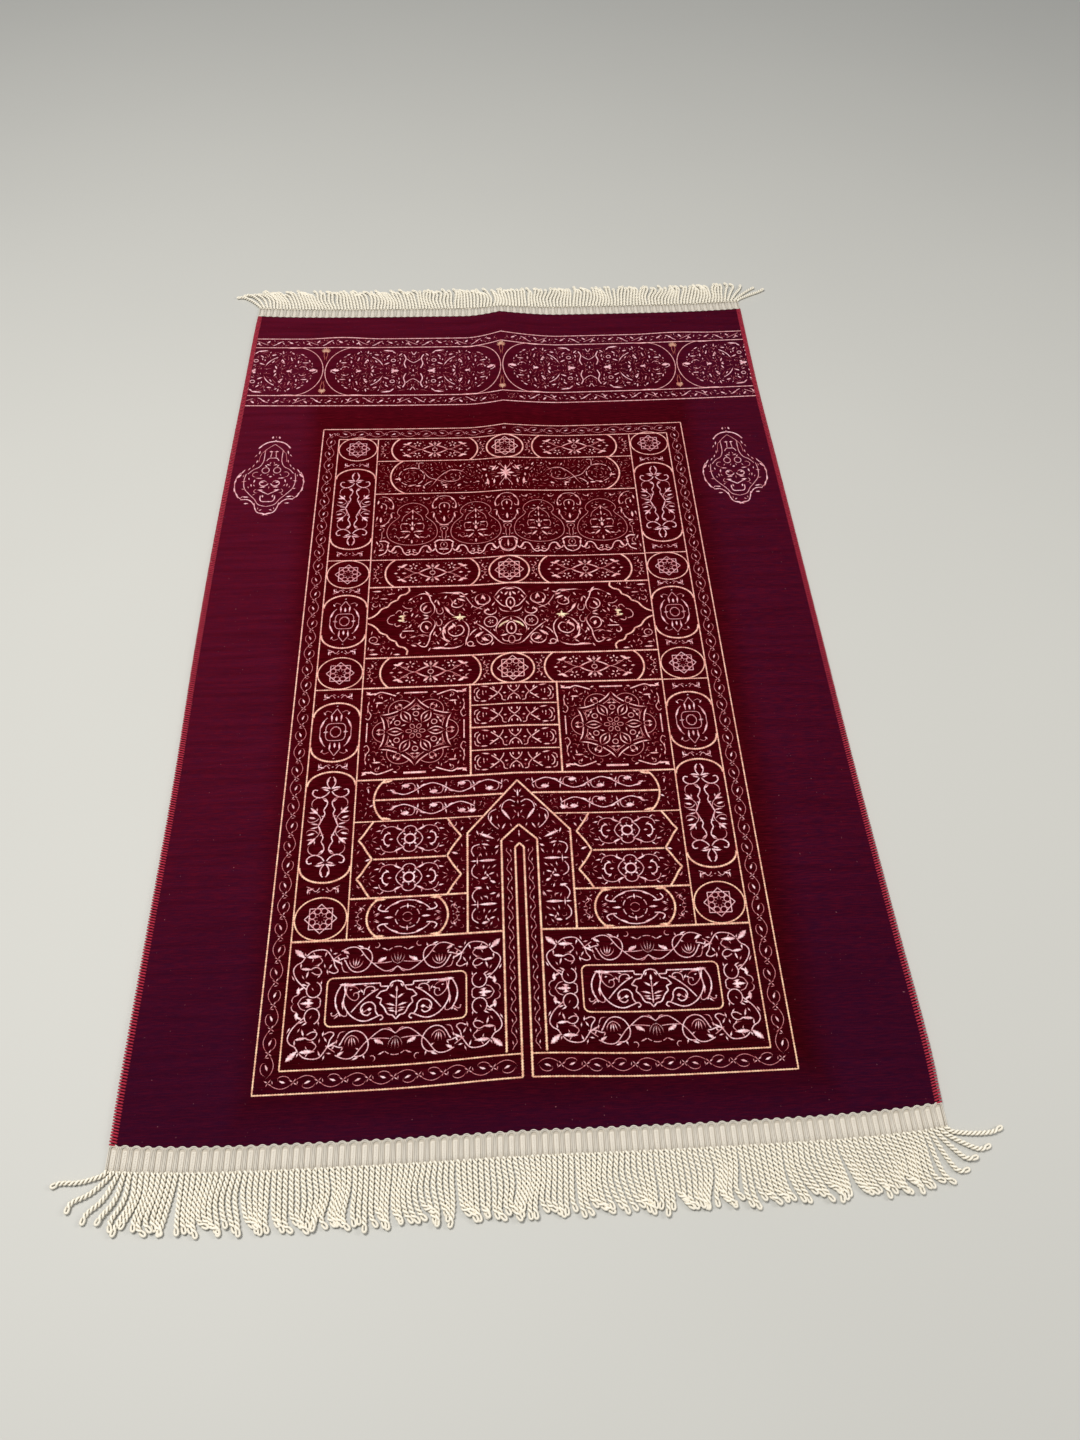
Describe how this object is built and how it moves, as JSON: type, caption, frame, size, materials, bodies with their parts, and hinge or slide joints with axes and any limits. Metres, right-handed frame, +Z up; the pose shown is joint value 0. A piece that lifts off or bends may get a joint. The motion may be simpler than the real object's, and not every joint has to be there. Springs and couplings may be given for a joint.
{
  "type": "prayer rug",
  "caption": "Flat oblong prayer rug to kneel on: a woven cloth with a pointed niche pattern, a lengthwise fold crease, overcast side edges and corded end fringes.",
  "frame": {"origin": "on the floor under the middle of the rug, fringes included", "axes": "+Y along the fold crease to the far end, where the wide pattern band is; +X to the right-hand edge seen from the near end; +Z up"},
  "size_m": [0.7988, 1.2898, 0.0135],
  "materials": {
    "burgundy_chenille": "dull soft chenille pile with fine weft lines, deep wine red and a little redder along the middle",
    "crimson_edging": "overcast yarn with close slanting wraps and a slight sheen",
    "cream_fringe": "two-ply twisted cotton-like cords under a looped heading, matt",
    "gold_yarn": "woven-in gold figure yarn with a beaded stitch",
    "pale_yarn": "woven-in pale pink figure yarn with a beaded stitch"
  },
  "bodies": {
    "root": {"rug_cloth": "burgundy_chenille", "edging_left": "crimson_edging", "edging_right": "crimson_edging", "fringe_near": "cream_fringe", "fringe_far": "cream_fringe"}
  },
  "joints": []
}
